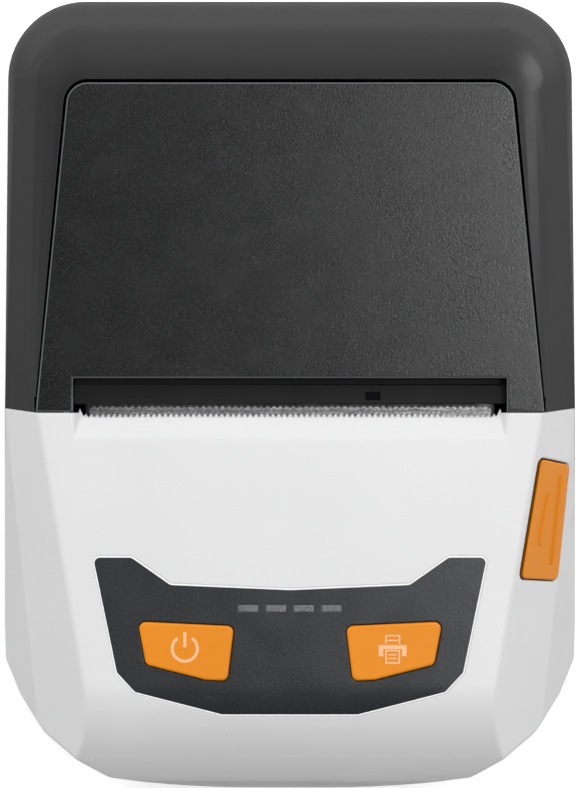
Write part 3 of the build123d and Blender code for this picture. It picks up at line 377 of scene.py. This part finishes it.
def driven_screws(node_name, piece_name, body, up):
    """A group of screws whose heads face up or down, each with its cross recess."""
    group = joined_up(node_name, piece_name)
    bpy.ops.object.mode_set(mode="EDIT")
    bpy.ops.mesh.select_all(action="SELECT")
    bpy.ops.mesh.separate(type="LOOSE")
    bpy.ops.object.mode_set(mode="OBJECT")
    screws = list(bpy.context.selected_objects)
    for screw in screws:
        cross_cut(screw, up)
    deselect()
    for screw in screws:
        screw.select_set(True)
    bpy.context.view_layer.objects.active = group
    bpy.ops.object.join()
    group.data.materials.clear()
    group.data.materials.append(black_zinc)
    smoothed(group)
    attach(group, body)
    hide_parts(node_name)


dress("case_screws", black_zinc)
for held, body, up in (("well", "case", True), ("frame", "case", True), ("board", "case", False),
                       ("holder", "lid", False)):
    driven_screws(f"{held}_screws", f"{held}_crosshead", body, up)

# Battery: a flat lithium pack in a grey moulded case, slid in through the door and pressed
# against three gold-plated leaf contacts at the rear of its bay.
pack_grey = moulded("pack_grey", (0.055, 0.057, 0.062), 0.45, 1100.0, 0.00003)
pack_wrap = merged_copy("battery_pack", "pack_wrap", "case")
pack_round = 0.0008
round_edges(pack_wrap, pack_round, 3, 50, lambda at: True)
pack_wrap.data.materials.append(pack_grey)
smoothed(pack_wrap)
gold_leaf = turned_metal("gold_leaf", (0.83, 0.61, 0.25), 0.25)
dress("battery_contacts", gold_leaf)

# Boards: green glass-fibre boards with black parts below, screwed up into the white cover.
# The charge board stands on two posts and carries the nickel-plated charge socket.
board_green = moulded("board_green", (0.02, 0.12, 0.05), 0.35, 700.0, 0.00002, edge=0.0, speck=0.8)
dress("main_board", board_green)
dress("charge_board", board_green)
nickel = turned_metal("nickel", (0.66, 0.65, 0.62), 0.28)
dress("charge_port", nickel)
switch_black = moulded("switch_black", (0.02, 0.02, 0.021), 0.5, 1200.0, 0.00002)
dress("key_switches", switch_black)

# Mechanism: a folded zinc-plated steel frame that carries the head, motor and gear train,
# screwed to four posts of the bottom case, with ground steel rods through its walls. The lid's
# hinge pins are blued steel.
zinc_plate = turned_metal("zinc_plate", (0.56, 0.57, 0.59), 0.4, streak=500.0)
for name in ("mech_frame", "release_lever"):
    dress(name, zinc_plate)
ground_steel = turned_metal("ground_steel", (0.62, 0.62, 0.63), 0.22)
for name in ("platen_shaft", "head_pivot", "idler_axle", "lever_pivot"):
    dress(name, ground_steel)
blued_steel = turned_metal("blued_steel", (0.035, 0.035, 0.04), 0.45)
dress("hinge_pins", blued_steel)

# Springs: compression springs coiled from round spring steel wire. Three lie flat between the
# frame and the back of the head; one stands under the release lever and brings it back.
spring_wire = turned_metal("spring_wire", (0.5, 0.5, 0.52), 0.3)
spring_radius, wire_radius = 0.0021, 0.0003      # to the middle of the wire, and of the wire


def coil_spring(name, node_name, long, turns, foot, tilt):
    """A spring of round wire, standing on its foot along Z or turned about X from there."""
    deselect()
    wire_middle = (spring_radius, 0, wire_radius)
    bpy.ops.mesh.primitive_circle_add(vertices=10, radius=wire_radius, location=wire_middle)
    bpy.ops.object.mode_set(mode="EDIT")
    bpy.ops.transform.rotate(value=pi / 2, orient_axis="X", center_override=wire_middle)
    bpy.ops.object.mode_set(mode="OBJECT")
    bpy.ops.object.transform_apply(location=True, rotation=True, scale=True)
    spring = bpy.context.object
    spring.name = name
    wind = spring.modifiers.new("wind", "SCREW")
    wind.steps = wind.render_steps = 28
    wind.iterations = turns
    wind.screw_offset = (long - 2 * wire_radius) / turns
    bpy.ops.object.modifier_apply(modifier=wind.name)
    bpy.ops.object.mode_set(mode="EDIT")
    bpy.ops.mesh.select_all(action="SELECT")
    bpy.ops.mesh.fill_holes(sides=12)
    bpy.ops.mesh.normals_make_consistent(inside=False)
    bpy.ops.object.mode_set(mode="OBJECT")
    spring.rotation_euler = (tilt, 0, 0)
    spring.location = foot
    bpy.ops.object.transform_apply(location=True, rotation=True, scale=True)
    bpy.ops.object.shade_smooth()
    spring.data.materials.append(spring_wire)
    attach(spring, "case")
    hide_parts(node_name)
    return spring


head_spring_long, key_spring_long = 0.0071, 0.0097
for number, x in enumerate((-0.024, 0.0, 0.024)):
    head_spring_foot = (x, -0.0108, 0.04083)
    head_spring = coil_spring(f"head_spring_{number}", "head_springs", head_spring_long, 5,
                              head_spring_foot, -pi / 2)
    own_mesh(head_spring)
key_spring_foot = (0.0462, -0.02446, 0.034)
key_spring = coil_spring("key_spring", "release_spring", key_spring_long, 6, key_spring_foot, 0.0)
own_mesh(key_spring)

# Drive: a small stepping motor in a drawn steel can, and three gears moulded in natural
# acetal that turn the platen; the head is a glazed ceramic strip on an aluminium heatsink.
motor_can = turned_metal("motor_can", (0.42, 0.42, 0.43), 0.45, streak=300.0)
dress("drive_motor", motor_can)
heatsink_alloy = turned_metal("heatsink_alloy", (0.7, 0.71, 0.72), 0.4, streak=700.0)
dress("head_heatsink", heatsink_alloy)
head_glaze = moulded("head_glaze", (0.20, 0.18, 0.16), 0.15, 500.0, 0.000005)
dress("print_head", head_glaze)
natural_acetal = moulded("natural_acetal", (0.66, 0.64, 0.58), 0.42, 900.0, 0.00001)
for name in ("platen_gear", "idler_gear", "motor_pinion"):
    dress(name, natural_acetal)

# Paper well: a tub with a round floor in which the paper roll lies and turns, injection moulded
# in plain black plastic and held in the bottom case by two screws.
inner_black = moulded("inner_black", (0.009, 0.009, 0.0095), 0.42, 1300.0, 0.00003, mirror=0.2)
dress("paper_well", inner_black)


# Front cover: the white faceted half of the top. Injection moulded in white plastic with a
# very fine satin grain, screwed on from below, with a ramp and a serrated lip at the slot.
shell_white = moulded("shell_white", (0.61, 0.61, 0.615), 0.42, 2200.0, 0.000006, drift=0.015,
                      edge=0.0008)
parting_y = -3.8         # where the front cover meets the rear bezel, in millimetres
front_shell = merged_copy("front_cover", "front_shell", "case")
crease_round, recess_round, opening_round = 0.0006, 0.00025, 0.0002
key_corners = [(49.4, -12.9), (55.9, -14.3), (53.7, -37.5), (45.5, -36.5)]   # in plan
release_out = Vector((0.807586, -0.137166, 0.573576))     # square to the right-hand bevel
along_key = Vector((0.1675, 0.9859, 0.0))
down_key = along_key.cross(release_out)
bevel_level = release_out.dot((49.8, -3.8, 58.0))


def on_bevel(x, y):
    """How far along and how far down the bevel a place in plan is, in millimetres."""
    z = (bevel_level - release_out.x * x - release_out.y * y) / release_out.z
    return along_key.dot((x, y, z)), down_key.dot((x, y, z))


near_along, near_down = on_bevel(*key_corners[0])
far_along, far_down = on_bevel(*key_corners[3])


def below_key_top(at):
    """How far a place lies below the upper side of the key's outline, down the bevel."""
    share = (along_key.dot(at) - near_along) / (far_along - near_along)
    return down_key.dot(at) - near_down - share * (far_down - near_down)


def draw_down(piece, levels, start, fade, reach):
    """Pull the upper side of the key or its opening down the bevel, less and less over fade."""
    for vertex in piece.data.vertices:
        at = vertex.co * 1000
        below = below_key_top(at)
        along = along_key.dot(at)
        level = release_out.dot(at) - bevel_level
        if levels[0] < level < levels[1] and start < below < fade and -40 < along < -4:
            vertex.co += down_key * (reach * (1 - (below - start) / (fade - start)) / 1000)


opening_grown = 0.32     # the upper side of the opening stands this much further off the key
draw_down(front_shell, levels=(-2.6, 0.05), start=-0.34, fade=2.6, reach=-opening_grown)


def near_release(at, reach):
    """Whether a place lies on the release button's opening, seen from above."""
    inside = True
    for (x0, y0), (x1, y1) in zip(key_corners, key_corners[1:] + key_corners[:1]):
        run = Vector((x1 - x0, y1 - y0))
        out = Vector((-run.y, run.x)).normalized()
        inside = inside and out.dot(Vector((at.x - x0, at.y - y0))) < reach
    return inside


def round_panel(at):
    """Whether a place lies on the edge of the panel's recess in the flat top."""
    return at.z > 57.9 and -75 < at.y < -30 and abs(at.x) < 42 + 0.13 * (at.y + 32)


def on_crease(at):
    """Whether a place lies on a crease between two facets of the cover's outside."""
    outside = at.z > seam_z + 1 and at.y < parting_y - 0.2 and abs(at.x) > 30
    scoop = at.x > 50 and -38.5 < at.y < -15 and at.z < 55.5
    return outside and not scoop and not near_release(at, 0.75) and not round_panel(at)


bevel_start, side_start, seam_rise = 0.0498, 0.0572, 0.0009


def slope_seam(piece):
    """Lean the parting line back towards the sides, where it crosses the bevels."""
    for vertex in piece.data.vertices:
        out = (abs(vertex.co.x) - bevel_start) / (side_start - bevel_start)
        if out > 0 and abs(vertex.co.y - parting_y / 1000) < 0.00035:
            vertex.co.y += seam_rise * min(1.0, out)


def on_seam(at):
    """Whether a place lies on the outer seam with the bottom case."""
    return abs(at.z - seam_z) < 0.1 and (abs(at.x) > 50 or abs(at.y) > 70)


round_edges(front_shell, crease_round, 3, 8, on_crease)
slope_seam(front_shell)
round_edges(front_shell, seam_round, 2, 50, on_seam)
round_edges(front_shell, recess_round, 2, 60, round_panel)
round_edges(front_shell, opening_round, 2, 50, lambda at: near_release(at, 0.5) and at.z > 44)
front_shell.data.materials.append(shell_white)
smoothed(front_shell)

# Tear bar: a strip of stainless steel blanked with fine teeth, with a groove pressed along it
# to stiffen it, held under the white lip.
tear_steel = turned_metal("tear_steel", (0.25, 0.25, 0.253), 0.40, streak=2600.0, height=0.000022,
                          drawn=0.8, deep=0.5, pale=1.5)
tear_strip = merged_copy("tear_bar", "tear_strip", "case")
crease_y = (-0.00362, -0.00338)
crease_deep = 0.0002
bpy.ops.object.mode_set(mode="EDIT")
for y in crease_y:
    bpy.ops.mesh.select_all(action="SELECT")
    bpy.ops.mesh.bisect(plane_co=(0, y, 0), plane_no=(0, 1, 0))
bpy.ops.mesh.select_mode(type="FACE")
bpy.ops.mesh.select_all(action="DESELECT")
mesh = bmesh.from_edit_mesh(tear_strip.data)
for face in mesh.faces:
    face.select = face.normal.z > 0.9 and crease_y[0] < face.calc_center_median().y < crease_y[1]
bmesh.update_edit_mesh(tear_strip.data)
bpy.ops.mesh.extrude_region_move(TRANSFORM_OT_translate={"value": (0, 0, -crease_deep)})
bpy.ops.object.mode_set(mode="OBJECT")
tear_strip.data.materials.append(tear_steel)

# Release button: satin orange plastic, injection moulded with two grip ribs on it. It is pushed
# in square to the bevel and stands in an opening of the front cover, over the release lever.
key_orange = moulded("key_orange", (0.66, 0.215, 0.008), 0.42, 1800.0, 0.00001, drift=0.03,
                     edge=0.0004, mirror=0.3)
release_cap = merged_copy("release_button", "release_cap", "release_key")
key_high, rib_high = 0.7, 0.45
release_sink = 0.45      # the key rests this much lower than its full height
rib_round, rim_round = 0.00016, 0.00045
draw_down(release_cap, levels=(-1.6, -1.4), start=-0.1, fade=9.0, reach=1.6)
draw_down(release_cap, levels=(0.6, 1.2), start=-0.1, fade=5.0, reach=0.2)
for vertex in release_cap.data.vertices:
    if release_out.dot(vertex.co) * 1000 > bevel_level + 0.2:
        vertex.co -= release_out * release_sink / 1000
release_top = bevel_level + key_high + rib_high - release_sink
round_edges(release_cap, rib_round, 3, 40, lambda at: release_out.dot(at) > release_top - 0.05)
round_edges(release_cap, rim_round, 4, 50,
            lambda at: abs(release_out.dot(at) - release_top + rib_high) < 0.05)
release_cap.data.materials.append(key_orange)
smoothed(release_cap, 40.0)

# Control panel: a dark speckled inlay flush with the white cover, with a row of four smoked
# lamp windows, lying in a recess with a thin white bead round it.
panel_dark = moulded("panel_dark", (0.0098, 0.0106, 0.0125), 0.32, 2200.0, 0.00002, drift=0.03,
                     speck=1.8, mirror=0.78)
dress("control_panel", panel_dark)
bead = joined_up("control_panel", "panel_bead")
bpy.ops.object.mode_set(mode="EDIT")
bpy.ops.mesh.select_mode(type="EDGE")
bpy.ops.mesh.select_all(action="DESELECT")
outline = bmesh.from_edit_mesh(bead.data)
for edge in outline.edges:
    at = (edge.verts[0].co + edge.verts[1].co) / 2 * 1000
    in_hole = abs(at.x) < 31.5 and -57.5 < at.y < -40.5
    tilts = sorted(abs(face.normal.z) for face in edge.link_faces)
    edge.select = at.z > 50 and not in_hole and tilts[0] < 0.1 and tilts[-1] > 0.3
bmesh.update_edit_mesh(bead.data)
bpy.ops.mesh.select_all(action="INVERT")
bpy.ops.mesh.delete(type="EDGE")
bpy.ops.object.mode_set(mode="OBJECT")
bpy.ops.object.convert(target="CURVE")
bead_radius = 0.00015
bead.data.bevel_depth = bead_radius
bead.data.bevel_resolution = 3
bpy.ops.object.convert(target="MESH")
# The bead is coloured paler than the white cover it belongs to, a painted highlight along the recess's
# edge.
bead_highlight_white = moulded("bead_highlight_white", (0.80, 0.80, 0.80), 0.3, 1800.0, 0.000002, drift=0.01, edge=0.0)
bead.data.materials.clear()
bead.data.materials.append(bead_highlight_white)
bpy.ops.object.shade_smooth()
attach(bead, "case")
lamp_smoke = moulded("lamp_smoke", (0.11, 0.112, 0.118), 0.3, 1300.0, 0.00001, speck=0.6)
dress("led_windows", lamp_smoke)

# Keys: two satin orange caps, moulded with a soft edge and a shallow dish. Their marks, a
# power sign and a small printer, are pad printed in pale ink on the dish.
cap_round, dish_border, key_dish = 0.0005, 0.0006, 0.00005
ink_high = 0.00002       # half the thickness of the ink film


def key_cap(node_name, piece_name, body):
    """A key with a rounded rim and a dish of a few hundredths of a millimetre."""
    cap = merged_copy(node_name, piece_name, body)
    rim_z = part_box(node_name)[1][2]
    round_edges(cap, cap_round, 4, 50, lambda at: at.z > rim_z * 1000 - 0.01)
    bpy.ops.object.mode_set(mode="EDIT")
    bpy.ops.mesh.select_mode(type="FACE")
    bpy.ops.mesh.select_all(action="DESELECT")
    mesh = bmesh.from_edit_mesh(cap.data)
    for face in mesh.faces:
        face.select = face.normal.z > 0.99 and face.calc_center_median().z > rim_z - 0.00001
    bmesh.update_edit_mesh(cap.data)
    bpy.ops.mesh.inset(thickness=dish_border, depth=-key_dish)
    bpy.ops.object.mode_set(mode="OBJECT")
    cap.data.materials.append(key_orange)
    smoothed(cap, 40.0)
    return rim_z - key_dish


def printed_mark(name, body, centre, floor_z, strips, ring=None):
    """Ink strips (x, y, width, height, in millimetres from the centre) and a power ring."""
    deselect()
    parts = []
    for x, y, wide, high in strips:
        place = (centre[0] + x / 1000, centre[1] + y / 1000, floor_z)
        bpy.ops.mesh.primitive_plane_add(size=0.001, location=place)
        bpy.ops.object.mode_set(mode="EDIT")
        bpy.ops.transform.resize(value=(wide, high, 1))
        bpy.ops.object.mode_set(mode="OBJECT")
        parts.append(bpy.context.object)
    if ring:
        radius, line, opening = ring
        inner, outer = radius - line / 2, radius + line / 2
        bpy.ops.mesh.primitive_circle_add(vertices=72, radius=inner, location=(*centre, floor_z))
        parts.append(bpy.context.object)
        bpy.ops.object.mode_set(mode="EDIT")
        bpy.ops.mesh.select_mode(type="VERT")
        bpy.ops.mesh.select_all(action="DESELECT")
        mesh = bmesh.from_edit_mesh(bpy.context.object.data)
        for vertex in mesh.verts:
            vertex.select = abs(degrees(atan2(vertex.co.x, vertex.co.y))) < opening
        bmesh.update_edit_mesh(bpy.context.object.data)
        bpy.ops.mesh.delete(type="VERT")
        bpy.ops.mesh.select_all(action="SELECT")
        bpy.ops.mesh.extrude_region_move()
        bpy.ops.transform.resize(value=(outer / inner, outer / inner, 1),
                                 center_override=(*centre, floor_z))
        bpy.ops.mesh.select_all(action="SELECT")
        bpy.ops.mesh.normals_make_consistent(inside=False)
        bpy.ops.object.mode_set(mode="OBJECT")
    deselect()
    for part in parts:
        part.select_set(True)
    bpy.context.view_layer.objects.active = parts[0]
    bpy.ops.object.join()
    mark = bpy.context.object
    mark.name = name
    bpy.ops.object.transform_apply(location=True, rotation=True, scale=True)
    film = mark.modifiers.new("film", "SOLIDIFY")
    film.thickness = 2 * ink_high
    film.offset = 0.0
    bpy.ops.object.modifier_apply(modifier=film.name)
    mark.data.materials.append(ink_pale)
    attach(mark, body)


ink_pale = moulded("ink_pale", (0.80, 0.43, 0.22), 0.45, 1500.0, 0.000002, drift=0.02, edge=0.0)
power_floor_z = key_cap("power_button", "power_cap", "power_key")
power_bar = [(0.0, 1.75, 0.62, 3.0)]
power_ring = (0.00248, 0.0006, 31.0)     # radius, line, and half the opening in degrees
printed_mark("power_mark", "power_key", (-0.0207, -0.0502), power_floor_z, power_bar, power_ring)
feed_floor_z = key_cap("feed_button", "feed_cap", "feed_key")
printer_strips = [
    (-1.35, 1.75, 0.3, 1.5), (1.35, 1.75, 0.3, 1.5), (0.0, 2.65, 3.0, 0.3), (0.0, 1.7, 2.1, 0.28),
    (0.0, 0.4, 5.5, 0.8), (-2.3, -0.7, 0.9, 1.4), (2.3, -0.7, 0.9, 1.4),
    (-1.3, -1.5, 0.3, 2.1), (1.3, -1.5, 0.3, 2.1), (0.0, -2.7, 2.9, 0.3), (0.0, -0.3, 2.9, 0.3),
    (0.0, -1.1, 1.6, 0.28), (0.0, -1.85, 1.6, 0.28),
]
printed_mark("printer_mark", "feed_key", (0.0202, -0.0503), feed_floor_z, printer_strips)

# Rear bezel: the black half of the top, round the lid, moulded in the same plastic as the
# bottom case but with a finer, satin grain. The lid's two hinge pins are pressed into it.
bezel_black = moulded("bezel_black", (0.0085, 0.0088, 0.0092), 0.31, 2200.0, 0.000008, mirror=0.5)
bezel = merged_copy("rear_bezel", "bezel_shell", "case")
mouth_round = 0.00015    # round the mouth that the lid closes
round_edges(bezel, mouth_round, 2, 55, lambda at: at.z > 57.9 and at.y > parting_y + 0.5)
slope_seam(bezel)
round_edges(bezel, seam_round, 2, 50, on_seam)
bezel.data.materials.append(bezel_black)
smoothed(bezel, 38.0)

# Lid: moulded in black plastic with a coarser leather-like grain, its rounded rim painted paler as a
# highlight.
# The holder inside it carries the platen; its nose is the ledge that guides the paper.
lid_black = moulded("lid_black", (0.0060, 0.0063, 0.0066), 0.26, 2850.0, 0.000045, speck=2.6,
                    rim_highlight=15.0, mirror=0.47)
lid_skin = merged_copy("lid_cover", "lid_skin", "lid")
lid_front_half, lid_rear_half = 0.0498, 0.0437
side_grown, front_grown = 0.0003, 0.0002      # the lid nearly fills its opening at the front
rim_deep = 0.0008
low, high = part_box("lid_cover")
for vertex in lid_skin.data.vertices:
    at = vertex.co
    share = (at.y - low.y) / (high.y - low.y)
    if abs(at.x) > lid_front_half - (lid_front_half - lid_rear_half) * share - rim_deep:
        vertex.co.x += side_grown * (1 - share) * (1 if at.x > 0 else -1)
    if at.y < low.y + rim_deep - 0.0002:
        vertex.co.y -= front_grown
notch_round, ledge_round = 0.00045, 0.0002
round_edges(lid_skin, notch_round, 4, 50, lambda at: at.z > 57.9)
lid_skin.data.materials.append(lid_black)
smoothed(lid_skin, 40.0)
ledge_black = moulded("ledge_black", (0.0105, 0.0105, 0.011), 0.5, 1600.0, 0.00002, mirror=0.14)
holder_ledge = merged_copy("platen_holder", "holder_ledge", "lid")
round_edges(holder_ledge, ledge_round, 2, 50, lambda at: at.z > 50 and abs(at.x) < 42)
holder_ledge.data.materials.append(ledge_black)
smoothed(holder_ledge)
sensor_dark = moulded("sensor_dark", (0.002, 0.002, 0.003), 0.4, 900.0, 0.000002, mirror=0.04)
dress("paper_sensor", sensor_dark)

# Platen: the roller that pulls the paper past the head. Black rubber is moulded on a steel shaft
# and ground true, and the shaft turns in two bushes of filled acetal in the lid's holder.
platen_rubber = moulded("platen_rubber", (0.025, 0.025, 0.027), 0.6, 1400.0, 0.00001)
dress("platen_roller", platen_rubber)
bush_grey = moulded("bush_grey", (0.06, 0.06, 0.065), 0.5, 1200.0, 0.00001)
dress("platen_bushes", bush_grey)
